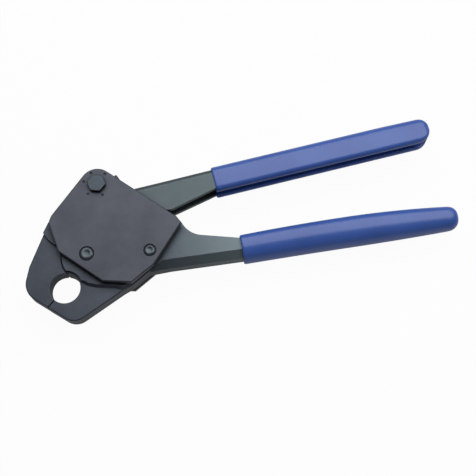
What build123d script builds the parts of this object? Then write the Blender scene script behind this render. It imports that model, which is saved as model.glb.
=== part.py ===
from build123d import *
from math import acos, atan2, cos, degrees, hypot, radians, sin
import os

os.makedirs("parts", exist_ok=True)

# A hand crimp tool lying on its back with its jaws closed. The crimp hole's centre is the origin,
# X runs towards the handles, Y towards the upper handle and Z out of the front cover.

# Layers through the head, all centred on its middle plane
plate_gap = 15.0
plate_thick = 3.5
jaw_thick = 10.0
knuckle_thick = 6.4
lever_inner_gap = 6.9
thrust_washer_thick = 1.0
side_play = 0.15
running_play = 0.04
sweep_gap = 0.7

# Pivots in the tool's plane
jaw_pin_at = (12.3, 19.1)
frame_pin_at = (48.6, 21.2)
bolt_at = (16.0, 61.8)
bolt_throw = 0.5
lever_opening = 62.0

# Crimp hole and the slit where the two jaws meet
crimp_bore = 17.8
slit_angle = 231.0
slit_gap = 0.6

# Cover plates
plate_corner_radius = 10.0
plate_bevel = 0.5
plate_corners = [
    (63.2, 42.2), (66.4, 38.3), (51.2, 12.9), (38.9, 2.1),
    (22.1, 2.8), (-4.1, 20.4), (-11.0, 37.8), (-9.6, 42.2),
]
index_mark_radius = 0.8
index_mark_depth = 0.5
index_mark_circle = 7.8
index_mark_angles = (55.0, 118.0, 170.0, 233.0, 299.0)

# Staked pins that hold the head together
jaw_pin_radius = 3.5
frame_pin_radius = 2.9
pin_proud = 0.6
pin_dome = 0.5
pin_countersink = 0.9

# Hub of the jaw pivot, a step above the jaws' faces, and the bosses that the plates rest on
hub_radius = 15.2
hub_step = 1.8
hub_pocket = 0.4
hole_land = 1.2
jaw_boss_radius = 6.2
frame_boss_radius = 5.2
tang_slope = 40.0
jaw_bush_wall = 1.5

# Fixed jaw and the lower handle's arm, one forging
fixed_chin = [(1.7, -18.0), (7.6, -19.0), (12.0, -17.0)]
fixed_heel = [(33.5, -1.3), (38.9, 1.9), (48.2, 10.2), (60.1, 12.6)]
arm_low_start = (101.6, 18.6)
arm_low_end = (221.0, 39.3)
arm_top_end = (219.0, 48.6)
arm_top_start = (101.0, 30.5)
arm_neck = [(77.0, 32.4), (70.6, 35.0), (66.3, 40.0)]
arm_root = [(58.0, 37.5), (44.0, 28.5)]
arm_bevel_width = 5.0
arm_bevel_depth = 2.5
tang_corners = [
    (7.8, 4.4), (13.0, 1.4), (18.5, 0.4), (28.4, 0.2), (33.5, -1.0),
    (38.4, 2.2), (47.2, 10.6), (49.8, 15.2), (62.8, 37.6), (57.2, 36.2), (44.0, 29.0),
]

# Moving jaw, its thick back and the fork that the lever's roller drives
moving_chin = (-24.1, -2.45)
moving_chin_radius = 11.5
moving_back = [(-21.5, 12.9), (-14.5, 32.9)]
moving_shoulder = [(-11.4, 28.9), (-8.0, 26.1)]
tail_top = [(4.0, 37.5), (-3.0, 38.5), (-8.5, 41.5), (-11.9, 39.2)]
fork_prong = 4.0
fork_reach = 2.6
edge_break = 0.5

# Lever crank with its pin and roller
crank_reach = 16.0
crank_eye_radius = 5.3
crank_pin_radius = 2.2
roller_radius = 4.0
roller_side_play = 0.8
roller_end_play = 0.6

# Upper lever: a channel, open towards the lower handle, with its web on the outer side
lever_start = (85.85, 67.2)
lever_tilt = 14.45
lever_length = 132.3
lever_depth = 13.9
lever_end_cut = 4.0
lever_eye_radius = 8.6
lever_web = 3.0
lever_grip_thick = 14.0
lever_grip_wall = 2.6
lever_flare_start = -34.6
lever_flare_end = -3.6
lever_web_start = -47.7
lever_top_start = -63.6
lever_bend = 4.0
lever_throat = [(-0.9, -6.1), (-30.1, -12.6), (-47.7, -9.2)]

# Vinyl grips
grip_coat = 1.0
upper_grip_lap = 1.0
upper_grip_cap = 2.2
upper_grip_corner = 6.6
upper_grip_round = 2.8
lower_grip_axis = [(101.7, 24.75), (120.0, 28.0), (165.0, 35.75), (205.0, 41.7), (230.4, 44.7)]
lower_grip_widths = (16.5, 17.3, 17.8, 16.1, 13.2)
lower_grip_flatness = 0.9
lower_grip_corner = 0.31
lower_grip_tip = 3.4

# Eccentric pivot bolt, its fastening behind and its lock
bolt_head_flats = 9.5
bolt_head_height = 2.3
bolt_head_turn = -5.0
bolt_head_chamfer = 0.5
front_journal_radius = 4.6
lever_journal_radius = 4.0
rear_journal_radius = 3.4
bolt_thread_radius = 3.0
bolt_end_proud = 0.4
washer_radius = 6.0
washer_thick = 1.0
nut_flats = 10.0
nut_height = 3.2
lever_bush_wall = 1.5
thrust_washer_radius = 8.0
collar_radius = 7.6
lock_angle = 37.0
lock_screw_radius = 1.5
lock_head_radius = 2.7
lock_head_from = 11.0
lock_head_height = 3.0
lock_socket_flats = 2.5
lock_socket_depth = 1.4


def reach(centre, distance, angle):
    """Point at a distance and an angle in degrees from a centre."""
    return (centre[0] + distance * cos(radians(angle)), centre[1] + distance * sin(radians(angle)))


def bearing(start, end):
    """Angle in degrees of the line from one point to another."""
    return degrees(atan2(end[1] - start[1], end[0] - start[0]))


def between(start, end, share=0.5):
    """Point on the way from one point to another."""
    return (start[0] + (end[0] - start[0]) * share, start[1] + (end[1] - start[1]) * share)


def tangent_point(point, centre, radius, side):
    """Where a line from a point touches a circle."""
    distance = hypot(point[0] - centre[0], point[1] - centre[1])
    return reach(centre, radius, bearing(centre, point) + side * degrees(acos(radius / distance)))


def ray_crossing(angle, start, end):
    """Distance from the origin, along an angle, to the line through two points."""
    along = (end[0] - start[0], end[1] - start[1])
    heading = reach((0, 0), 1, angle)
    return (start[0] * along[1] - start[1] * along[0]) / (heading[0] * along[1] - heading[1] * along[0])


def slit_point(distance, side):
    """Point on one face of the slit, counted from the crimp hole's centre."""
    return reach(reach((0, 0), distance, slit_angle), slit_gap / 2, slit_angle + side * 90)


# Worked-out layers and places
plate_inner = plate_gap / 2
plate_outer = plate_inner + plate_thick
hub_half = jaw_thick / 2 + hub_step
knuckle_half = knuckle_thick / 2
lever_half = plate_inner - thrust_washer_thick - side_play
lever_inner = lever_inner_gap / 2
bore_radius = crimp_bore / 2
slit_reach = ray_crossing(slit_angle, moving_chin, fixed_chin[0])
jaw_bush_radius = jaw_pin_radius + jaw_bush_wall
lever_bush_radius = lever_journal_radius + lever_bush_wall
lever_axis = (bolt_at[0], bolt_at[1] - bolt_throw)
pivot_line = bearing(lever_axis, jaw_pin_at)
crank_pin_at = reach(lever_axis, crank_reach, pivot_line - lever_opening / 2)
tail_angle = bearing(jaw_pin_at, crank_pin_at)
tail_reach = hypot(crank_pin_at[0] - jaw_pin_at[0], crank_pin_at[1] - jaw_pin_at[1])
pivot_distance = hypot(lever_axis[0] - jaw_pin_at[0], lever_axis[1] - jaw_pin_at[1])
fork_slot_radius = roller_radius + roller_side_play
fork_slot_foot = pivot_distance - crank_reach - roller_end_play + roller_side_play
tail_plane = Plane(
    origin=(*jaw_pin_at, 0),
    x_dir=(cos(radians(tail_angle)), sin(radians(tail_angle)), 0),
    z_dir=(0, 0, 1),
)
lever_plane = Plane(
    origin=(*lever_start, 0),
    x_dir=(cos(radians(lever_tilt)), sin(radians(lever_tilt)), 0),
    z_dir=(0, 0, 1),
)
lever_edge_plane = Plane(origin=(*lever_start, 0), x_dir=lever_plane.x_dir, z_dir=lever_plane.y_dir)
lock_plane = Plane(
    origin=(*lever_axis, 0),
    x_dir=(0, 0, 1),
    z_dir=(cos(radians(lock_angle)), sin(radians(lock_angle)), 0),
)


# Cover plates: stamped steel, one in front and one behind, staked on the pins
def cover_outline(height):
    """The plates' shared outline, drawn at a height."""
    right = tangent_point(plate_corners[0], bolt_at, plate_corner_radius, 1)
    left = tangent_point(plate_corners[-1], bolt_at, plate_corner_radius, -1)
    crown = reach(bolt_at, plate_corner_radius, bearing(bolt_at, between(left, right)))
    with BuildSketch(Plane.XY.offset(height)) as outline:
        with BuildLine():
            Polyline(right, *plate_corners, left)
            ThreePointArc(left, crown, right)
        make_face()
    return outline.sketch


def cover_holes(side, journal_radius):
    """Bolt hole and countersunk pin holes through one plate."""
    countersink_at = side * (plate_outer - pin_countersink / 2)
    with Locations((*bolt_at, side * plate_inner)):
        Cylinder(journal_radius, 4 * plate_thick, mode=Mode.SUBTRACT)
    for place, radius in ((jaw_pin_at, jaw_pin_radius), (frame_pin_at, frame_pin_radius)):
        wide = radius + pin_countersink
        with Locations((*place, side * plate_inner)):
            Cylinder(radius, 4 * plate_thick, mode=Mode.SUBTRACT)
        with Locations((*place, countersink_at)):
            if side > 0:
                Cone(radius, wide, pin_countersink, mode=Mode.SUBTRACT)
            else:
                Cone(wide, radius, pin_countersink, mode=Mode.SUBTRACT)


with BuildPart() as front_cover_plate:
    extrude(cover_outline(plate_inner), amount=plate_thick)
    chamfer(front_cover_plate.faces().sort_by(Axis.Z)[-1].edges(), plate_bevel)
    cover_holes(1, front_journal_radius)
    for angle in index_mark_angles:
        with Locations((*reach(bolt_at, index_mark_circle, angle), plate_outer)):
            Cylinder(index_mark_radius, 2 * index_mark_depth, mode=Mode.SUBTRACT)
front_cover_plate.part.label = "front_cover_plate"
export_step(front_cover_plate.part, "parts/front_cover_plate.step")

with BuildPart() as rear_cover_plate:
    extrude(cover_outline(-plate_outer), amount=plate_thick)
    chamfer(rear_cover_plate.faces().sort_by(Axis.Z)[0].edges(), plate_bevel)
    cover_holes(-1, rear_journal_radius)
rear_cover_plate.part.label = "rear_cover_plate"
export_step(rear_cover_plate.part, "parts/rear_cover_plate.step")


# Fixed jaw and lower arm: one forging, with a fork round the moving jaw's knuckle
def nearest_edges(piece, places, height):
    """Edges of a piece nearest to points in the tool's plane, on both faces."""
    return [
        piece.edges().sort_by_distance((*place, side * height))[0]
        for place in places
        for side in (1, -1)
    ]


with BuildPart() as fixed_jaw_handle:
    with BuildSketch(Plane.XY):
        with BuildLine():
            Polyline(jaw_pin_at, slit_point(bore_radius / 2, 1), slit_point(slit_reach, 1), fixed_chin[0])
            ThreePointArc(*fixed_chin)
            Polyline(fixed_chin[-1], *fixed_heel, arm_low_start, arm_low_end)
            Polyline(arm_low_end, arm_top_end, arm_top_start, arm_neck[0])
            ThreePointArc(*arm_neck)
            Polyline(arm_neck[-1], *arm_root, jaw_pin_at)
        make_face()
    extrude(amount=jaw_thick / 2, both=True)
    arm_low_edges = [between(fixed_heel[-1], arm_low_start), between(arm_low_start, arm_low_end)]
    arm_front = fixed_jaw_handle.faces().sort_by(Axis.Z)[-1]
    bevelled = [arm_front.edges().sort_by_distance((*place, jaw_thick / 2))[0] for place in arm_low_edges]
    chamfer(bevelled, arm_bevel_width, arm_bevel_depth, reference=arm_front)
    chin_edges = [
        between(slit_point(slit_reach, 1), fixed_chin[0]),
        fixed_chin[1],
        between(fixed_chin[-1], fixed_heel[0]),
    ]
    chamfer(nearest_edges(fixed_jaw_handle, chin_edges, jaw_thick / 2), edge_break)
    with Locations(jaw_pin_at):
        Cylinder(hub_radius, 2 * hub_half)
    for side in (1, -1):
        with BuildSketch(Plane(origin=(0, 0, side * jaw_thick / 2), x_dir=(1, 0, 0), z_dir=(0, 0, side))):
            Polygon(*[(x, side * y) for x, y in (jaw_pin_at, *tang_corners)], align=None)
        extrude(amount=hub_step, taper=tang_slope)
        with Locations((0, 0, side * (jaw_thick + hub_step) / 2)):
            Cylinder(bore_radius + hole_land, hub_step, mode=Mode.SUBTRACT)
    with Locations(jaw_pin_at):
        Cylinder(jaw_boss_radius, plate_gap)
    with Locations(frame_pin_at):
        Cylinder(frame_boss_radius, plate_gap)
    with Locations(jaw_pin_at):
        Cylinder(hub_radius + hub_pocket, knuckle_thick + 2 * side_play, mode=Mode.SUBTRACT)
        Cylinder(jaw_pin_radius, plate_gap, mode=Mode.SUBTRACT)
    with Locations(frame_pin_at):
        Cylinder(frame_pin_radius, plate_gap, mode=Mode.SUBTRACT)
    Cylinder(bore_radius, plate_gap, mode=Mode.SUBTRACT)
fixed_jaw_handle.part.label = "fixed_jaw_handle"
export_step(fixed_jaw_handle.part, "parts/fixed_jaw_handle.step")

# Moving jaw: half of the crimp hole, a knuckle between the fork's cheeks and a forked tail
with BuildPart() as moving_jaw:
    with BuildSketch(Plane.XY) as moving_outline:
        Polygon(
            jaw_pin_at, slit_point(bore_radius / 2, -1), slit_point(slit_reach, -1), moving_chin,
            *moving_back, *moving_shoulder, align=None,
        )
        fillet(moving_outline.vertices().sort_by_distance(moving_chin)[0], moving_chin_radius)
    extrude(amount=jaw_thick / 2, both=True)
    moving_edges = [
        between(slit_point(slit_reach, -1), moving_chin, 0.2),
        moving_chin,
        between(moving_back[0], moving_chin, 0.2),
        between(*moving_back),
    ]
    chamfer(nearest_edges(moving_jaw, moving_edges, jaw_thick / 2), edge_break)
    with BuildSketch(Plane.XY):
        Polygon(moving_back[-1], *moving_shoulder, jaw_pin_at, *tail_top, align=None)
    extrude(amount=hub_half, both=True)
    for height in (knuckle_half, -knuckle_half - plate_gap):
        with BuildSketch(Plane.XY.offset(height)):
            with Locations(jaw_pin_at):
                Circle(hub_radius + sweep_gap)
        extrude(amount=plate_gap, mode=Mode.SUBTRACT)
    with BuildSketch(tail_plane):
        Circle(hub_radius)
        tail_end = tail_reach + fork_reach
        tail_half_width = fork_slot_radius + fork_prong
        Polygon(
            (0, -tail_half_width), (tail_end, -tail_half_width),
            (tail_end, tail_half_width), (0, tail_half_width), align=None,
        )
    extrude(amount=knuckle_half, both=True)
    with BuildSketch(tail_plane):
        with Locations((fork_slot_foot, 0)):
            Circle(fork_slot_radius)
        slot_end = 2 * tail_reach
        Polygon(
            (fork_slot_foot, -fork_slot_radius), (slot_end, -fork_slot_radius),
            (slot_end, fork_slot_radius), (fork_slot_foot, fork_slot_radius), align=None,
        )
    extrude(amount=plate_gap, both=True, mode=Mode.SUBTRACT)
    with Locations(jaw_pin_at):
        Cylinder(jaw_bush_radius, plate_gap, mode=Mode.SUBTRACT)
    Cylinder(bore_radius, plate_gap, mode=Mode.SUBTRACT)
moving_jaw.part.label = "moving_jaw"
export_step(moving_jaw.part, "parts/moving_jaw.step")


# Plain bearing in the moving jaw's knuckle
def ring(place, outer, inner, low, high):
    """Round ring between two heights."""
    with Locations((*place, (low + high) / 2)):
        Cylinder(outer, high - low)
        Cylinder(inner, high - low, mode=Mode.SUBTRACT)


with BuildPart() as jaw_bush:
    ring(jaw_pin_at, jaw_bush_radius, jaw_pin_radius + running_play, -knuckle_half, knuckle_half)
jaw_bush.part.label = "jaw_bush"
export_step(jaw_bush.part, "parts/jaw_bush.step")


# Staked pins with domed ends
pin_length = 2 * (plate_outer + pin_proud)
with BuildPart() as jaw_pin:
    with Locations(jaw_pin_at):
        Cylinder(jaw_pin_radius, pin_length)
    fillet(jaw_pin.edges().filter_by(GeomType.CIRCLE), pin_dome)
jaw_pin.part.label = "jaw_pin"
export_step(jaw_pin.part, "parts/jaw_pin.step")

with BuildPart() as frame_pin:
    with Locations(frame_pin_at):
        Cylinder(frame_pin_radius, pin_length)
    fillet(frame_pin.edges().filter_by(GeomType.CIRCLE), pin_dome)
frame_pin.part.label = "frame_pin"
export_step(frame_pin.part, "parts/frame_pin.step")


# Upper lever: a pressed channel whose two cheeks straddle the roller inside the head
def lever_gap_half(along):
    """Half the channel's inner width at a distance along the lever."""
    wide = lever_grip_thick / 2 - lever_grip_wall
    share = (along - lever_flare_start) / (lever_flare_end - lever_flare_start)
    return lever_inner + (wide - lever_inner) * min(max(share, 0), 1)


def lever_band(stations, halves):
    """Closed strip symmetric about the lever's middle plane."""
    upper = list(zip(stations, halves))
    lower = [(along, -half) for along, half in reversed(upper)]
    Polygon(*upper, *lower, align=None)


lever_eye = lever_plane.to_local_coords(Vector(*lever_axis, 0))
crank_eye = lever_plane.to_local_coords(Vector(*crank_pin_at, 0))
lever_far = lever_length + lever_depth
lever_rear = crank_eye.X - 2 * crank_eye_radius
lever_tall = 2 * lever_length
with BuildPart() as upper_lever:
    with BuildSketch(lever_plane):
        Polygon(
            (lever_top_start, lever_depth / 2), (lever_length - lever_end_cut, lever_depth / 2),
            (lever_length, lever_depth / 2 - lever_end_cut), (lever_length, lever_end_cut - lever_depth / 2),
            (lever_length - lever_end_cut, -lever_depth / 2), *lever_throat, align=None,
        )
    extrude(amount=lever_grip_thick, both=True)
    with BuildSketch(lever_edge_plane):
        lever_band(
            (lever_rear, lever_flare_start, lever_flare_end, lever_far),
            (lever_half, lever_half, lever_grip_thick / 2, lever_grip_thick / 2),
        )
    extrude(amount=lever_tall, both=True, mode=Mode.INTERSECT)
    bend_places = [
        lever_plane.from_local_coords(Vector(along, lever_depth / 2, 0))
        for along in (lever_web_start, (lever_flare_start + lever_flare_end) / 2, lever_length / 2)
    ]
    bend_spots = [(place.X, place.Y) for place in bend_places]
    fillet(nearest_edges(upper_lever, bend_spots, lever_grip_thick / 2), lever_bend)
    with BuildSketch(lever_plane):
        Polygon(
            (lever_top_start, lever_depth / 2), lever_throat[-1],
            (crank_eye.X, crank_eye.Y - crank_eye_radius), (crank_eye.X - crank_eye_radius, crank_eye.Y),
            (lever_eye.X - lever_eye_radius, lever_eye.Y), (lever_eye.X, lever_eye.Y), align=None,
        )
        with Locations((lever_eye.X, lever_eye.Y)):
            Circle(lever_eye_radius)
        with Locations((crank_eye.X, crank_eye.Y)):
            Circle(crank_eye_radius)
    extrude(amount=lever_half, both=True)
    with BuildSketch(lever_edge_plane.offset(-lever_tall)):
        stations = (lever_web_start, lever_flare_start, lever_flare_end, lever_far)
        lever_band(stations, [lever_gap_half(along) for along in stations])
    extrude(amount=lever_tall + lever_depth / 2 - lever_web, mode=Mode.SUBTRACT)
    with BuildSketch(lever_edge_plane):
        lever_band((lever_rear, lever_web_start), (lever_inner, lever_inner))
    extrude(amount=lever_tall, both=True, mode=Mode.SUBTRACT)
    with Locations(lever_axis):
        Cylinder(lever_bush_radius, plate_gap, mode=Mode.SUBTRACT)
    with Locations(crank_pin_at):
        Cylinder(crank_pin_radius, plate_gap, mode=Mode.SUBTRACT)
upper_lever.part.label = "upper_lever"
export_step(upper_lever.part, "parts/upper_lever.step")

# Bushes in the lever's cheeks, thrust washers beside them, and the crank's pin and roller
with BuildPart() as front_lever_bush:
    ring(lever_axis, lever_bush_radius, lever_journal_radius + running_play, lever_inner, lever_half)
front_lever_bush.part.label = "front_lever_bush"
export_step(front_lever_bush.part, "parts/front_lever_bush.step")

with BuildPart() as rear_lever_bush:
    ring(lever_axis, lever_bush_radius, lever_journal_radius + running_play, -lever_half, -lever_inner)
rear_lever_bush.part.label = "rear_lever_bush"
export_step(rear_lever_bush.part, "parts/rear_lever_bush.step")

washer_inner = plate_inner - thrust_washer_thick
with BuildPart() as front_thrust_washer:
    ring(lever_axis, thrust_washer_radius, lever_journal_radius, washer_inner, plate_inner)
front_thrust_washer.part.label = "front_thrust_washer"
export_step(front_thrust_washer.part, "parts/front_thrust_washer.step")

with BuildPart() as rear_thrust_washer:
    ring(lever_axis, thrust_washer_radius, lever_journal_radius, -plate_inner, -washer_inner)
rear_thrust_washer.part.label = "rear_thrust_washer"
export_step(rear_thrust_washer.part, "parts/rear_thrust_washer.step")

with BuildPart() as crank_pin:
    with Locations(crank_pin_at):
        Cylinder(crank_pin_radius, 2 * lever_half)
crank_pin.part.label = "crank_pin"
export_step(crank_pin.part, "parts/crank_pin.step")

with BuildPart() as crank_roller:
    roller_half = lever_inner - side_play
    ring(crank_pin_at, roller_radius, crank_pin_radius + running_play, -roller_half, roller_half)
crank_roller.part.label = "crank_roller"
export_step(crank_roller.part, "parts/crank_roller.step")

# Upper grip: vinyl dipped over the channel, with the channel's groove along its inner side
grip_half = lever_depth / 2 + grip_coat
grip_end = lever_length + upper_grip_cap
with BuildPart() as upper_grip:
    with BuildSketch(lever_plane) as grip_outline:
        Polygon(
            (-upper_grip_lap, -grip_half), (grip_end, -grip_half),
            (grip_end, grip_half), (-upper_grip_lap, grip_half), align=None,
        )
        fillet(grip_outline.vertices().sort_by(Axis.X)[-2:], upper_grip_corner)
    extrude(amount=lever_grip_thick / 2 + grip_coat, both=True)
    grip_faces = upper_grip.faces().sort_by(Axis.Z)
    fillet(grip_faces[0].edges() + grip_faces[-1].edges(), upper_grip_round)
    with BuildSketch(lever_edge_plane.offset(-lever_tall)):
        groove_half = lever_gap_half(lever_length) - grip_coat
        lever_band((lever_rear, lever_length), (groove_half, groove_half))
    extrude(amount=lever_tall + lever_depth / 2 - lever_web - grip_coat, mode=Mode.SUBTRACT)
    add(upper_lever.part, mode=Mode.SUBTRACT)
upper_grip.part.label = "upper_grip"
export_step(upper_grip.part, "parts/upper_grip.step")

# Lower grip: vinyl dipped over the arm, swelling along a gently arched axis
with BuildPart() as lower_grip:
    for index, (place, width) in enumerate(zip(lower_grip_axis, lower_grip_widths)):
        before = lower_grip_axis[max(index - 1, 0)]
        after = lower_grip_axis[min(index + 1, len(lower_grip_axis) - 1)]
        across = bearing(before, after)
        section = Plane(
            origin=(*place, 0),
            x_dir=(-sin(radians(across)), cos(radians(across)), 0),
            z_dir=(cos(radians(across)), sin(radians(across)), 0),
        )
        thick = width * lower_grip_flatness
        with BuildSketch(section):
            RectangleRounded(width, thick, thick * lower_grip_corner)
    loft()
    fillet(lower_grip.faces().sort_by(Axis.X)[-1].edges(), lower_grip_tip)
    add(fixed_jaw_handle.part, mode=Mode.SUBTRACT)
lower_grip.part.label = "lower_grip"
export_step(lower_grip.part, "parts/lower_grip.step")

# Eccentric pivot bolt: hex head, journal in each plate and the lever's journal between them
washer_low = -plate_outer - washer_thick
nut_low = washer_low - nut_height
bolt_low = nut_low - bolt_end_proud
with BuildPart() as pivot_bolt:
    with BuildSketch(Plane.XY.offset(plate_outer)):
        with Locations(bolt_at):
            RegularPolygon(bolt_head_flats / 2, 6, major_radius=False, rotation=bolt_head_turn)
    extrude(amount=bolt_head_height)
    chamfer(pivot_bolt.faces().sort_by(Axis.Z)[-1].edges(), bolt_head_chamfer)
    for place, radius, low, high in (
        (bolt_at, front_journal_radius, plate_inner, plate_outer),
        (lever_axis, lever_journal_radius, -plate_inner, plate_inner),
        (bolt_at, rear_journal_radius, -plate_outer, -plate_inner),
        (bolt_at, bolt_thread_radius, bolt_low, -plate_outer),
    ):
        with Locations((*place, (low + high) / 2)):
            Cylinder(radius, high - low)
pivot_bolt.part.label = "pivot_bolt"
export_step(pivot_bolt.part, "parts/pivot_bolt.step")

with BuildPart() as pivot_washer:
    ring(bolt_at, washer_radius, bolt_thread_radius, washer_low, -plate_outer)
pivot_washer.part.label = "pivot_washer"
export_step(pivot_washer.part, "parts/pivot_washer.step")

with BuildPart() as pivot_nut:
    with BuildSketch(Plane.XY.offset(nut_low)):
        with Locations(bolt_at):
            RegularPolygon(nut_flats / 2, 6, major_radius=False)
            Circle(bolt_thread_radius, mode=Mode.SUBTRACT)
    extrude(amount=nut_height)
pivot_nut.part.label = "pivot_nut"
export_step(pivot_nut.part, "parts/pivot_nut.step")

# Lock: a collar on the bolt between the lever's cheeks, and a screw that pinches it from the side
with BuildPart() as lock_screw:
    with BuildSketch(lock_plane.offset(lever_journal_radius)):
        Circle(lock_screw_radius)
    extrude(amount=lock_head_from - lever_journal_radius)
    with BuildSketch(lock_plane.offset(lock_head_from)):
        Circle(lock_head_radius)
    extrude(amount=lock_head_height)
    with BuildSketch(lock_plane.offset(lock_head_from + lock_head_height - lock_socket_depth)):
        RegularPolygon(lock_socket_flats / 2, 6, major_radius=False)
    extrude(amount=lock_socket_depth, mode=Mode.SUBTRACT)
lock_screw.part.label = "lock_screw"
export_step(lock_screw.part, "parts/lock_screw.step")

with BuildPart() as lock_collar:
    ring(lever_axis, collar_radius, lever_journal_radius, -knuckle_half, knuckle_half)
    add(lock_screw.part, mode=Mode.SUBTRACT)
lock_collar.part.label = "lock_collar"
export_step(lock_collar.part, "parts/lock_collar.step")
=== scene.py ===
import math

import bmesh
import bpy
from mathutils import Matrix, Vector


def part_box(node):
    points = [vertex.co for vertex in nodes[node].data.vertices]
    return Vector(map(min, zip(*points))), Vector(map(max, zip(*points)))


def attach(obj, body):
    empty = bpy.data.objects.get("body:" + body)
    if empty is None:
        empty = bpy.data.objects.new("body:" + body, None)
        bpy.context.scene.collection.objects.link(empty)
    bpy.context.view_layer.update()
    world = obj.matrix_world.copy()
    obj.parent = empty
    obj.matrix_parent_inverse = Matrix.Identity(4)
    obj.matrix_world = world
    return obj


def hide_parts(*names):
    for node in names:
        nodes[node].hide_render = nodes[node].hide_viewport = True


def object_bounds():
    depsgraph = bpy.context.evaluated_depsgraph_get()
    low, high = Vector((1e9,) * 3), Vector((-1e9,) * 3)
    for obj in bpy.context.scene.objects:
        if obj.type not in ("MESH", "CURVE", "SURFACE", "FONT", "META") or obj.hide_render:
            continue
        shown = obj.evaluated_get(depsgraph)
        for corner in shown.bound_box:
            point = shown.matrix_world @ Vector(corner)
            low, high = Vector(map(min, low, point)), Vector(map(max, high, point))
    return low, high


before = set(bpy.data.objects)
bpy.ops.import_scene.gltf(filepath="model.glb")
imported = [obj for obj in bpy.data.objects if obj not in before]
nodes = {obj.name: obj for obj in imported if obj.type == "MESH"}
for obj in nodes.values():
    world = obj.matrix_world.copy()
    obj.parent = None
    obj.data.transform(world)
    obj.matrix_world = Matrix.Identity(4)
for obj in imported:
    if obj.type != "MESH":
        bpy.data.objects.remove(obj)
cad_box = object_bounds()

# Fixed jaw, moving jaw and the arm of the lower handle: drop forgings in carbon steel, ground flat on the
# faces and blackened in a hot oxide bath. That gives a soft slate grey, with steel showing on rubbed edges
# that are also a painted edge highlight, painted shade in the corners, darkest in the head, and a paler arm
# near the grips.
MM = 0.001
cloud_size, mark_stretch = 16, 7
# The edge mask: rubbed steel on the edges, which also paints in the highlight a chamfer catches.
edge_mask_radius, edge_mask_from, edge_mask_through = 0.45, 0.985, 0.80
handled_from, handled_to = 45, 105
# Painted shade in the corners: how far it reaches, where it starts and is full, and how strong it is in the
# head and on the arm.
shade_reach, shade_from, shade_full = 7, 0.92, 0.4
darkest_shade_to, lightest_shade_from, shade_in_head, shade_on_arm = 25, 60, 0.95, 0.2
painted_shade_black = "#0e1012"


def linear(colour):
    """An sRGB hex colour as a linear one for a shader socket."""
    shares = [int(colour[place:place + 2], 16) / 255 for place in (1, 3, 5)]
    return [s / 12.92 if s <= 0.04045 else ((s + 0.055) / 1.055) ** 2.4 for s in shares] + [1.0]


def put(material, kind, settings=None, **sockets):
    """Adds a node to a material, with its settings, and a value or a link for each named socket."""
    node = material.node_tree.nodes.new(kind)
    for name, value in (settings or {}).items():
        setattr(node, name, value)
    for name, value in sockets.items():
        socket = next(s for s in node.inputs if name in (s.identifier, s.name.replace(" ", "_")))
        if isinstance(value, bpy.types.NodeSocket):
            material.node_tree.links.new(value, socket)
        else:
            socket.default_value = value
    return node


def blank(name):
    """A material with no nodes yet."""
    material = bpy.data.materials.new(name)
    material.use_nodes = True
    material.node_tree.nodes.clear()
    return material


def clouded(material, place, size, dark, light, stops=(0.3, 0.7), **noise):
    """Clouds of a size in millimetres: their share, and their colour from dark to light."""
    share = put(material, "ShaderNodeTexNoise", Vector=place, Scale=1 / (size * MM), **noise).outputs["Fac"]
    tint = put(material, "ShaderNodeValToRGB", Fac=share)
    for end, stop, colour in zip(tint.color_ramp.elements, stops, (dark, light)):
        end.position = stop
        end.color = linear(colour)
    return share, tint.outputs[0]


def surfaced(material, colour, dull, roughness, relief, **sockets):
    """Gives a material its surface: its roughness goes from low to high with dull, and relief is its bump."""
    rough = put(
        material, "ShaderNodeMapRange", Value=dull, From_Min=0.3, From_Max=0.7, To_Min=roughness[0],
        To_Max=roughness[1],
    )
    bump = put(material, "ShaderNodeBump", **relief)
    shader = put(
        material, "ShaderNodeBsdfPrincipled", Base_Color=colour, Roughness=rough.outputs[0],
        Normal=bump.outputs[0], **sockets,
    )
    put(material, "ShaderNodeOutputMaterial", Surface=shader.outputs[0])
    return material


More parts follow.
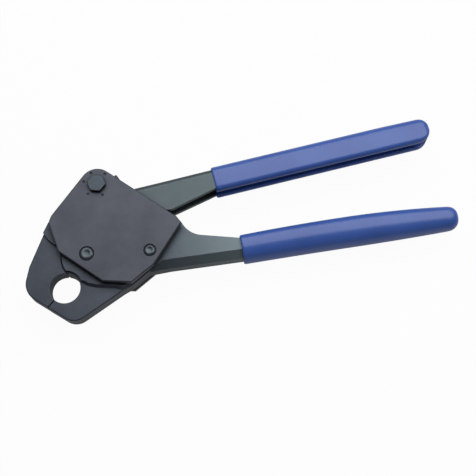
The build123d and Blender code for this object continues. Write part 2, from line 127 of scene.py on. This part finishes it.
def oxide_steel(name, dark, light, worn_and_highlight, handled, grain, lay, roughness):
    """Blackened steel: cloudy oxide over tool marks, paler where held, rubbed edges with a painted highlight,
    painted shade in corners.
    """
    material = blank(name)
    place = put(material, "ShaderNodeTexCoord").outputs["Object"]
    _, colour = clouded(material, place, cloud_size, dark, light, Detail=4.0, Roughness=0.6)

    # Real tool marks are about a tenth of a millimetre wide. They are drawn coarser, so that they show.
    turned_place = put(
        material, "ShaderNodeMapping", Vector=place, Rotation=(0, 0, math.radians(lay)),
        Scale=(1, mark_stretch, 1),
    )
    marks = put(
        material, "ShaderNodeTexNoise", Vector=turned_place.outputs[0], Scale=1 / (mark_stretch * grain * MM),
        Detail=3.0, Roughness=0.55,
    ).outputs["Fac"]
    pits = put(
        material, "ShaderNodeTexNoise", Vector=place, Scale=1 / (grain * MM), Detail=2.0, Roughness=0.6,
    ).outputs["Fac"]

    # Hands rub the steel paler towards the grips.
    along = put(material, "ShaderNodeSeparateXYZ", Vector=place).outputs["X"]
    held = put(
        material, "ShaderNodeMapRange", Value=along, From_Min=handled_from * MM, From_Max=handled_to * MM,
    ).outputs[0]

    # An edge is where the rounded normal turns away from the face's own, by the cosine between them.
    rounded = put(material, "ShaderNodeBevel", {"samples": 6}, Radius=edge_mask_radius * MM).outputs[0]
    turn = put(
        material, "ShaderNodeVectorMath", {"operation": "DOT_PRODUCT"}, Vector=rounded,
        Vector_001=put(material, "ShaderNodeNewGeometry").outputs["True Normal"],
    ).outputs["Value"]
    edge = put(
        material, "ShaderNodeMapRange", Value=turn, From_Min=edge_mask_from, From_Max=edge_mask_through,
    ).outputs[0]
    # Paler steel on every edge, broken by the tool marks: partly wear, partly a painted highlight where a
    # chamfer would catch the light.
    rub_and_highlight = put(material, "ShaderNodeMath", {"operation": "MULTIPLY"}, Value=edge, Value_001=marks).outputs[0]

    # Painted shade: ambient occlusion darkens the corners towards near black, most of all in the head, as the
    # shade under the plates' edges.
    corner = put(
        material, "ShaderNodeAmbientOcclusion", {"samples": 8}, Distance=shade_reach * MM,
    ).outputs["AO"]
    most_painted_shade = put(
        material, "ShaderNodeMapRange", Value=along, From_Min=darkest_shade_to * MM, From_Max=lightest_shade_from * MM,
        To_Min=shade_in_head, To_Max=shade_on_arm,
    ).outputs[0]
    painted_shade = put(
        material, "ShaderNodeMapRange", Value=corner, From_Min=shade_from, From_Max=shade_full, To_Max=most_painted_shade,
    ).outputs[0]

    # Paler where held, then rubbed edges with their painted highlight, then painted shade in the corners.
    for share, coat in ((held, handled), (rub_and_highlight, worn_and_highlight), (painted_shade, painted_shade_black)):
        colour = put(
            material, "ShaderNodeMix", {"data_type": "RGBA"}, Factor_Float=share, A_Color=colour,
            B_Color=linear(coat),
        ).outputs[2]
    height = put(material, "ShaderNodeMath", {"operation": "ADD"}, Value=marks, Value_001=pits).outputs[0]
    relief = {"Height": height, "Normal": rounded, "Strength": 0.12, "Distance": 0.05 * MM}
    return surfaced(material, colour, marks, roughness, relief, Metallic=0.76)


def finish(piece, material):
    """Gives a piece its only material."""
    piece.data.materials.clear()
    piece.data.materials.append(material)


forging_black = oxide_steel(
    "black_oxide_forging", dark="#363b43", light="#41464f", worn_and_highlight="#666a71", handled="#5e6a6e", grain=0.6,
    lay=-35, roughness=(0.4, 0.45),
)
for name in ("fixed_jaw_handle", "moving_jaw"):
    finish(nodes[name], forging_black)

# Cover plates: stamped from rolled sheet steel, deburred round the edge and blackened. The colour is a
# little bluer than the forgings', and the rolling marks run along the sheet.
sheet_black = oxide_steel(
    "black_oxide_sheet", dark="#3b3e46", light="#454850", worn_and_highlight="#6a6d75", handled="#454850", grain=0.6,
    lay=58, roughness=(0.4, 0.45),
)
for name in ("front_cover_plate", "rear_cover_plate"):
    finish(nodes[name], sheet_black)

# Staked pins: turned from ground bar, pressed through both plates and headed over with a punch. That spreads
# each end into its countersink and leaves a shallow dish. They are brighter than the oxide round them.
plate_inner, plate_face = [corner[2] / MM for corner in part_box("front_cover_plate")]
# Shares of the pin's radius and depths below its top, then distances beyond the radius and depths below the
# plate's face.
staked_end = [(0, 0.3), (0.36, 0.28), (0.54, 0.1), (0.64, 0), (0.8, 0), (0.92, 0.12), (1, 0.36)]
staked_spread = [(0.45, 0.08), (0.5, 0.3), (0, 0.9)]
turned_steps, turned_smooth, weld = 48, 40, 0.001
pin_cloud, ring_scale = 2.2, 3


def upright_sizes(node):
    """Centre, half width, bottom and top of a node that stands upright, in millimetres."""
    low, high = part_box(node)
    centre = ((low[0] + high[0]) / 2 / MM, (low[1] + high[1]) / 2 / MM)
    return centre, (high[0] - low[0]) / 2 / MM, low[2] / MM, high[2] / MM


def turned(mesh, profile, centre):
    """Spins a profile of radius and height, in millimetres, about an upright axis."""
    points = [
        mesh.verts.new(((centre[0] + radius) * MM, centre[1] * MM, height * MM)) for radius, height in profile
    ]
    line = [mesh.edges.new(pair) for pair in zip(points, points[1:])]
    bmesh.ops.spin(
        mesh, geom=points + line, cent=(centre[0] * MM, centre[1] * MM, 0), axis=(0, 0, 1), angle=2 * math.pi,
        steps=turned_steps, use_merge=True,
    )
    bmesh.ops.remove_doubles(mesh, verts=mesh.verts, dist=weld * MM)
    bmesh.ops.recalc_face_normals(mesh, faces=mesh.faces)


def placed(name, data):
    """Puts data in the scene as an object."""
    thing = bpy.data.objects.new(name, data)
    bpy.context.scene.collection.objects.link(thing)
    return thing


def shaped(name, mesh):
    """Puts a bmesh in the scene as an object."""
    data = bpy.data.meshes.new(name)
    mesh.to_mesh(data)
    mesh.free()
    return placed(name, data)


def made_piece(node, way, mesh, body, material, smooth=None):
    """Puts a bmesh in a node's stead, on its body and with its finish, smooth up to an angle in degrees."""
    piece = shaped(node + "_" + way, mesh)
    if smooth:
        piece.data.polygons.foreach_set("use_smooth", [True] * len(piece.data.polygons))
        piece.data.set_sharp_from_angle(angle=math.radians(smooth))
    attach(piece, body)
    finish(piece, material)
    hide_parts(node)


def ground_steel(name, dark, light, centre):
    """Turned steel end: fine rings round its own centre."""
    material = blank(name)
    place = put(material, "ShaderNodeTexCoord").outputs["Object"]
    cloud, colour = clouded(material, place, pin_cloud, dark, light, (0.32, 0.66), Detail=4.0)
    centred = put(
        material, "ShaderNodeMapping", Vector=place, Location=(-centre[0] * MM, -centre[1] * MM, 0),
    )
    # The turning rings are a few hundredths of a millimetre apart. They are drawn about one millimetre apart,
    # so that they show: the texture has about three waves in each length that its scale gives.
    rings = put(
        material, "ShaderNodeTexWave", {"wave_type": "RINGS", "rings_direction": "Z"},
        Vector=centred.outputs[0], Scale=1 / (ring_scale * MM), Distortion=1.5, Detail=2.0, Detail_Scale=2.0,
    )
    relief = {"Height": rings.outputs["Fac"], "Strength": 0.2, "Distance": 0.04 * MM}
    return surfaced(material, colour, cloud, (0.24, 0.36), relief, Metallic=0.75)


for name in ("jaw_pin", "frame_pin"):
    centre, radius, bottom, top = upright_sizes(name)
    half = [(share * radius, top - depth) for share, depth in staked_end]
    half += [(radius + beyond, plate_face - depth) for beyond, depth in staked_spread]
    pin = bmesh.new()
    turned(pin, half + [(r, -z) for r, z in reversed(half)], centre)
    pin_steel = ground_steel(name + "_ground_steel", "#383e44", "#4f575d", centre)
    made_piece(name, "turned", pin, "frame", pin_steel, turned_smooth)

# Pivot bolt, its washer and its nut: a cold-headed hex bolt with an eccentric journal turned between the
# plates, blackened a shade cooler than the sheet. Head and nut have the usual cone turned on their corners,
# and the thread shows just behind the nut.
bolt_flats, bolt_turn = 9.5, -5.0
nut_flats, nut_turn = 10.0, 30.0
corner_to_flat = 30
cone_out, cone_up, cone_reach, cone_cuts = 0.5, 0.866, 0.52, 36
front_radius, rear_radius, journal_radius = 4.6, 3.4, 4.0
# A lap is how far one turned length runs into the next.
head_lap, journal_lap = 0.5, 0.3
# The end stands less than half a millimetre proud of the nut, so its ridges are finer than a real thread's.
thread_radius, thread_root, thread_crest, thread_end = 3.0, 2.7, 2.95, 2.3
thread_turns, thread_pitch, thread_flank = 3, 0.11, 0.06
thread_runout, crest_taper, end_clear = 0.1, 0.1, 0.01
bore_steps = 36
washer_burr, washer_roll = 0.15, 0.2


def hex_block(centre, flats, low, high, turn, cones):
    """A hexagon block whose corners are turned off by a shallow cone at its top, 1, or its bottom, -1."""
    mesh = bmesh.new()
    corner_radius = flats / math.sqrt(3) * MM
    spot = Matrix.Translation((centre[0] * MM, centre[1] * MM, (low + high) / 2 * MM))
    spot @= Matrix.Rotation(math.radians(corner_to_flat + turn), 4, "Z")
    bmesh.ops.create_cone(
        mesh, cap_ends=True, segments=6, radius1=corner_radius, radius2=corner_radius,
        depth=(high - low) * MM, matrix=spot,
    )
    for end in cones:
        middle = Vector((centre[0], centre[1], high if end > 0 else low)) * MM
        for step in range(cone_cuts):
            angle = 2 * math.pi * step / cone_cuts
            out = Vector((math.cos(angle), math.sin(angle), 0))
            bmesh.ops.bisect_plane(
                mesh, geom=mesh.verts[:] + mesh.edges[:] + mesh.faces[:], dist=1e-7,
                plane_co=middle + out * flats * cone_reach * MM,
                plane_no=out * cone_out + Vector((0, 0, end * cone_up)), clear_outer=True,
            )
            bmesh.ops.holes_fill(mesh, edges=[edge for edge in mesh.edges if edge.is_boundary], sides=0)
    bmesh.ops.recalc_face_normals(mesh, faces=mesh.faces)
    return mesh


bolt_black = oxide_steel(
    "black_oxide_bolt", dark="#363d44", light="#40484f", worn_and_highlight="#6a6f75", handled="#40484f", grain=0.5,
    lay=0, roughness=(0.38, 0.43),
)
bolt_low, bolt_high = [corner[2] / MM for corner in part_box("pivot_bolt")]
bolt_at, _, nut_low, nut_high = upright_sizes("pivot_nut")
journal_at = upright_sizes("front_thrust_washer")[0]
bolt = hex_block(bolt_at, bolt_flats, plate_face, bolt_high, bolt_turn, [1])
shank = [
    (0, plate_face + head_lap), (front_radius, plate_face + head_lap), (front_radius, plate_inner),
    (rear_radius, plate_inner), (rear_radius, -plate_face), (thread_radius, nut_high),
    (thread_radius, nut_low),
]
for step in range(thread_turns):
    root = nut_low - thread_runout - thread_pitch * step
    shank += [(thread_root, root), (thread_crest - crest_taper * step, root - thread_flank)]
shank += [(thread_end, bolt_low + end_clear), (0, bolt_low + end_clear)]
turned(bolt, shank, bolt_at)
journal = [
    (0, plate_inner + journal_lap), (journal_radius, plate_inner + journal_lap),
    (journal_radius, -plate_inner), (0, -plate_inner),
]
turned(bolt, journal, journal_at)
made_piece("pivot_bolt", "headed", bolt, "frame", bolt_black)

nut = hex_block(bolt_at, nut_flats, nut_low, nut_high, nut_turn, [1, -1])
bmesh.ops.delete(nut, geom=[face for face in nut.faces if abs(face.normal.z) > 0.99], context="FACES_ONLY")
bores = []
for height in (nut_high, nut_low):
    rim = [e for e in nut.edges if e.is_boundary and abs(e.verts[0].co.z - height * MM) < 0.01 * MM]
    spot = Matrix.Translation((bolt_at[0] * MM, bolt_at[1] * MM, height * MM))
    bmesh.ops.create_circle(nut, segments=bore_steps, radius=thread_radius * MM, matrix=spot)
    bores.append([edge for edge in nut.edges if edge.is_wire])
    bmesh.ops.bridge_loops(nut, edges=rim + bores[-1])
bmesh.ops.bridge_loops(nut, edges=bores[0] + bores[1])
bmesh.ops.recalc_face_normals(nut, faces=nut.faces)
made_piece("pivot_nut", "chamfered", nut, "frame", bolt_black)

washer = bmesh.new()
_, rim, bottom, top = upright_sizes("pivot_washer")
washer_profile = [
    (thread_radius, top), (rim - washer_burr, top), (rim, top - washer_burr), (rim, bottom + washer_roll),
    (rim - washer_roll, bottom), (thread_radius, bottom), (thread_radius, top),
]
turned(washer, washer_profile, bolt_at)
made_piece("pivot_washer", "pressed", washer, "frame", bolt_black, turned_smooth)

# Lock collar and screw: a turned collar that grips the bolt between the lever's cheeks, pinched by a
# socket screw from the side. Both are blackened like the bolt, and so are the two thrust washers.
for name in ("lock_collar", "lock_screw", "front_thrust_washer", "rear_thrust_washer"):
    finish(nodes[name], bolt_black)

# Upper lever: a channel pressed from thick sheet, with rounded bends along its back, blackened. The face
# is a neutral grey and a little paler than the forgings' jaws.
lever_black = oxide_steel(
    "black_oxide_pressing", dark="#434c50", light="#4a5357", worn_and_highlight="#6a7075", handled="#4c5659", grain=0.6,
    lay=14, roughness=(0.4, 0.45),
)
finish(nodes["upper_lever"], lever_black)

# Bearings inside the head: bronze bushes in the lever's cheeks and in the jaw's knuckle, and a hardened
# pin and roller on the crank. They are bare metal, half bright under a cloudy film of grease.
grease_cloud = 2.5


def bare_metal(name, dark, light):
    """Machined bare metal with a cloudy film over it."""
    material = blank(name)
    place = put(material, "ShaderNodeTexCoord").outputs["Object"]
    film, colour = clouded(material, place, grease_cloud, dark, light, (0.0, 1.0), Detail=4.0)
    relief = {"Height": film, "Strength": 0.15, "Distance": 0.03 * MM}
    return surfaced(material, colour, film, (0.25, 0.4), relief, Metallic=0.9)


bronze = bare_metal("bearing_bronze", "#8a6a3c", "#b18b52")
for name in ("front_lever_bush", "rear_lever_bush", "jaw_bush"):
    finish(nodes[name], bronze)
hardened = bare_metal("hardened_steel", "#6d7075", "#94979c")
for name in ("crank_pin", "crank_roller"):
    finish(nodes[name], hardened)

# Upper grip: plastisol vinyl, dipped hot over the channel and cured, so it follows the groove on the inner
# side and closes over the end. It is royal blue and half glossy, with the faint orange peel of a cured dip.
sleeve_at, sleeve_tilt = (85.85, 67.2), 14.45
sleeve_low, sleeve_high = -1.0, 134.5
sleeve_half_depth, sleeve_half_thick = 7.95, 8.0
back_rounding, flange_rounding, edge_rounding = 5.2, 2.8, 1.2
back_fullness, back_fade = 0.45, 22.0
groove_half, groove_floor, groove_end = 3.4, 2.95, 132.3
end_rounding, end_slant, end_dome, end_depth = 6.6, 9.0, 4.5, 0.15
lip_length, lip_roll = 1.2, 0.05
lip_rings, sleeve_rings, end_rings = 4, 16, 15
rounding_steps, dipped_smooth, dipped_weld = 8, 45, 0.002
vinyl_cloud, peel_size = 30, 1.6

vinyl = blank("royal_blue_vinyl")
place = put(vinyl, "ShaderNodeTexCoord").outputs["Object"]
_, blue = clouded(vinyl, place, vinyl_cloud, "#2f52a0", "#375baa", Detail=3.0)
peel = put(
    vinyl, "ShaderNodeTexNoise", Vector=place, Scale=1 / (peel_size * MM), Detail=2.0, Roughness=0.5,
).outputs["Fac"]
surfaced(vinyl, blue, peel, (0.3, 0.36), {"Height": peel, "Strength": 0.12, "Distance": 0.12 * MM}, IOR=1.56)


def rounded_section(corners):
    """A flat face across the X axis, from corners given as across, up and rounding."""
    mesh = bmesh.new()
    points = [mesh.verts.new((0, across * MM, up * MM)) for across, up, rounding in corners]
    mesh.faces.new(points)
    for point, (across, up, rounding) in zip(points, corners):
        bmesh.ops.bevel(
            mesh, geom=[point], offset=rounding * MM, offset_type="OFFSET", segments=rounding_steps,
            profile=0.5, affect="VERTICES", material=-1,
        )
    return mesh


def drawn_on(mesh, end, before, place):
    """Draws an end face on from one place to the next and gives the new end, or sets the first place."""
    if before is None:
        bmesh.ops.transform(mesh, matrix=place, verts=mesh.verts)
        return end
    end = bmesh.ops.extrude_discrete_faces(mesh, faces=[end])["faces"][0]
    bmesh.ops.transform(mesh, matrix=place @ before.inverted(), verts=end.verts[:])
    return end


def dipped_piece(node, mesh, place, body):
    """Closes a drawn-out mesh at its lip, puts it in its place and gives it the vinyl."""
    bmesh.ops.remove_doubles(mesh, verts=mesh.verts, dist=dipped_weld * MM)
    bmesh.ops.holes_fill(mesh, edges=[edge for edge in mesh.edges if edge.is_boundary], sides=0)
    bmesh.ops.recalc_face_normals(mesh, faces=mesh.faces)
    bmesh.ops.transform(mesh, matrix=place, verts=mesh.verts)
    made_piece(node, "dipped", mesh, body, vinyl, dipped_smooth)


def rounded_off(along, half, rounding):
    """What is left of a half size at a distance along the sleeve, where its end is rounded over."""
    reach = max(along - sleeve_high + rounding, 0)
    return half - rounding + math.sqrt(max(rounding ** 2 - reach ** 2, 0))


sleeve = rounded_section([
    (sleeve_half_depth, sleeve_half_thick, back_rounding),
    (sleeve_half_depth, -sleeve_half_thick, back_rounding),
    (-sleeve_half_depth, -sleeve_half_thick, flange_rounding),
    (-sleeve_half_depth, -groove_half, edge_rounding),
    (groove_floor, -groove_half, edge_rounding),
    (groove_floor, groove_half, edge_rounding),
    (-sleeve_half_depth, groove_half, edge_rounding),
    (-sleeve_half_depth, sleeve_half_thick, flange_rounding),
])
end_from = sleeve_high - end_slant
stations = [sleeve_low + lip_length * ring / lip_rings for ring in range(lip_rings + 1)]
stations += [sleeve_low + (end_from - sleeve_low) * ring / sleeve_rings for ring in range(1, sleeve_rings)]
stations += [end_from + end_slant * math.sin(math.pi / 2 * ring / end_rings) for ring in range(end_rings + 1)]
sleeve_end, before, groove_open = sleeve.faces[:][0], None, True
for along in stations:
    lip = 1 - lip_roll * max(1 - (along - sleeve_low) / lip_length, 0) ** 2
    back = lip * rounded_off(along, sleeve_half_depth, end_rounding)
    back += back_fullness * min(max(sleeve_high - end_rounding - along, 0) / back_fade, 1)
    flange = -lip * max(rounded_off(along, sleeve_half_depth, end_slant), end_depth - back)
    across_share = (back - flange) / (2 * sleeve_half_depth)
    up_share = lip * rounded_off(along, sleeve_half_thick, end_dome) / sleeve_half_thick
    place = Matrix.Translation((along * MM, (back + flange) / 2 * MM, 0))
    place @= Matrix.Diagonal((1, across_share, up_share, 1))
    sleeve_end = drawn_on(sleeve, sleeve_end, before, place)
    before = place
    # The dip closes the groove just before the end.
    if groove_open and along > groove_end:
        groove_open = False
        for point in sleeve_end.verts:
            if abs(point.co.z) < (groove_half + edge_rounding) * up_share * MM:
                point.co.y = flange * MM
turn = Matrix.Rotation(math.radians(sleeve_tilt), 4, "Z")
dipped_piece("upper_grip", sleeve, Matrix.Translation(Vector((*sleeve_at, 0)) * MM) @ turn, "lever")

# Lower grip: the same vinyl, dipped over the solid arm in a thicker coat, so it is a full rounded bar that
# swells in the palm and ends in a soft tip. It follows the arm's bevel, and its lip is slightly rolled.
bar_at = (101.7, 24.65)
bar_length, bar_rings = 128.5, 72
bar_slope, bar_arch = 0.192, 0.000287
palm_at, palm_width, mouth_width, heel_width = 63.3, 17.4, 16.4, 13.1
tip_length, tip_fullness, tip_most = 7.0, 2.6, 0.9999
bar_flatness, bar_rounding = 0.9, 0.68
bevel_foot, bevel_foot_rounding = 0.25, 0.3
bevel_head, bevel_head_rounding = -0.5, 0.5


def bar_half_width(along):
    """Half the bar's width at a distance along it: widest in the palm, with a rolled lip and a soft tip."""
    if along < palm_at:
        width = palm_width - (palm_width - mouth_width) * (1 - along / palm_at) ** 2
    else:
        width = palm_width - (palm_width - heel_width) * ((along - palm_at) / (bar_length - palm_at)) ** 2
    lip = 1 - lip_roll * max(1 - along / lip_length, 0) ** 2
    into_tip = min(max(along - bar_length + tip_length, 0) / tip_length, tip_most)
    return width / 2 * lip * (1 - into_tip ** tip_fullness) ** (1 / tip_fullness)


# The section is drawn for a half width of 1, and each ring scales it.
bar = rounded_section([
    (1, 1, bar_rounding), (1, -1, bar_rounding), (-1, -1, bar_rounding),
    (-1, bevel_foot, bevel_foot_rounding), (bevel_head, 1, bevel_head_rounding),
])
bar_end, before = bar.faces[:][0], None
for ring in range(bar_rings + 1):
    along = bar_length * 0.5 * (1 - math.cos(math.pi * ring / bar_rings))
    half = bar_half_width(along)
    heading = math.atan(bar_slope - 2 * bar_arch * along)
    place = (
        Matrix.Translation(Vector((along, bar_slope * along - bar_arch * along ** 2, 0)) * MM)
        @ Matrix.Rotation(heading, 4, "Z") @ Matrix.Diagonal((1, half, half * bar_flatness, 1))
    )
    bar_end = drawn_on(bar, bar_end, before, place)
    before = place
dipped_piece("lower_grip", bar, Matrix.Translation(Vector((*bar_at, 0)) * MM), "frame")

# Stage: a white sheet under the tool, one soft box overhead and a dim room. The sheet and the room show
# as white behind the tool, and the camera looks steeply down, as the photograph does.
stage_middle = (0.1, 0.04)
sheet_half, sheet_clear = 3.0, 0.0002
sheet_seen, room_seen, mirrored = 0.96, 1.0, 0.2
room_strength = 0.15
soft_box_at, soft_box_power = (0.26, 0.45, 0.78), 10.7
soft_box_width, soft_box_depth = 1.6, 0.8
camera_at, camera_tilt, camera_view = (0.0994, -0.1302, 0.4992), 18, 30
camera_near = 0.01


def white_when_seen(material, surface, seen_share, mirrored_share):
    """A surface that is white to the camera, and in part in metal and glass, with no more light from it."""
    rays = put(material, "ShaderNodeLightPath").outputs
    shares = {
        "Is Camera Ray": seen_share, "Is Glossy Ray": mirrored_share, "Is Transmission Ray": mirrored_share,
    }
    white = 0.0
    for ray, share in shares.items():
        shown = put(material, "ShaderNodeMath", {"operation": "MULTIPLY"}, Value=rays[ray], Value_001=share)
        white = put(
            material, "ShaderNodeMath", {"operation": "MAXIMUM"}, Value=white, Value_001=shown.outputs[0],
        ).outputs[0]
    glow = put(material, "ShaderNodeEmission", Color=linear("#ffffff"), Strength=1.0)
    return put(
        material, "ShaderNodeMixShader", Fac=white, Shader=surface.outputs[0], Shader_001=glow.outputs[0],
    ).outputs[0]


sheet_mesh = bmesh.new()
sheet_place = Matrix.Translation((*stage_middle, cad_box[0][2] - sheet_clear))
bmesh.ops.create_grid(sheet_mesh, x_segments=1, y_segments=1, size=sheet_half, matrix=sheet_place)
sheet = shaped("sheet", sheet_mesh)
paper = blank("white_paper")
paper_surface = put(paper, "ShaderNodeBsdfDiffuse", Color=linear("#dadada"))
paper_seen = white_when_seen(paper, paper_surface, sheet_seen, mirrored)
put(paper, "ShaderNodeOutputMaterial", Surface=paper_seen)
sheet.data.materials.append(paper)

room = bpy.data.worlds.new("dim_room")
room.use_nodes = True
room.node_tree.nodes.clear()
room_light = put(room, "ShaderNodeBackground", Color=linear("#e9edf2"), Strength=room_strength)
put(room, "ShaderNodeOutputWorld", Surface=white_when_seen(room, room_light, room_seen, mirrored))
bpy.context.scene.world = room

box_light = bpy.data.lights.new("soft_box", "AREA")
box_light.shape = "RECTANGLE"
box_light.size = soft_box_width
box_light.size_y = soft_box_depth
box_light.energy = soft_box_power
soft_box = placed("soft_box", box_light)
soft_box.location = soft_box_at
towards_tool = Vector((*stage_middle, 0)) - soft_box.location
soft_box.rotation_euler = towards_tool.to_track_quat("-Z", "Y").to_euler()

lens = bpy.data.cameras.new("camera")
lens.angle = math.radians(camera_view)
lens.clip_start = camera_near
camera = placed("camera", lens)
camera.location = camera_at
camera.rotation_euler = (math.radians(camera_tilt), 0, 0)
bpy.context.scene.camera = camera
bpy.context.scene.view_settings.view_transform = "Standard"
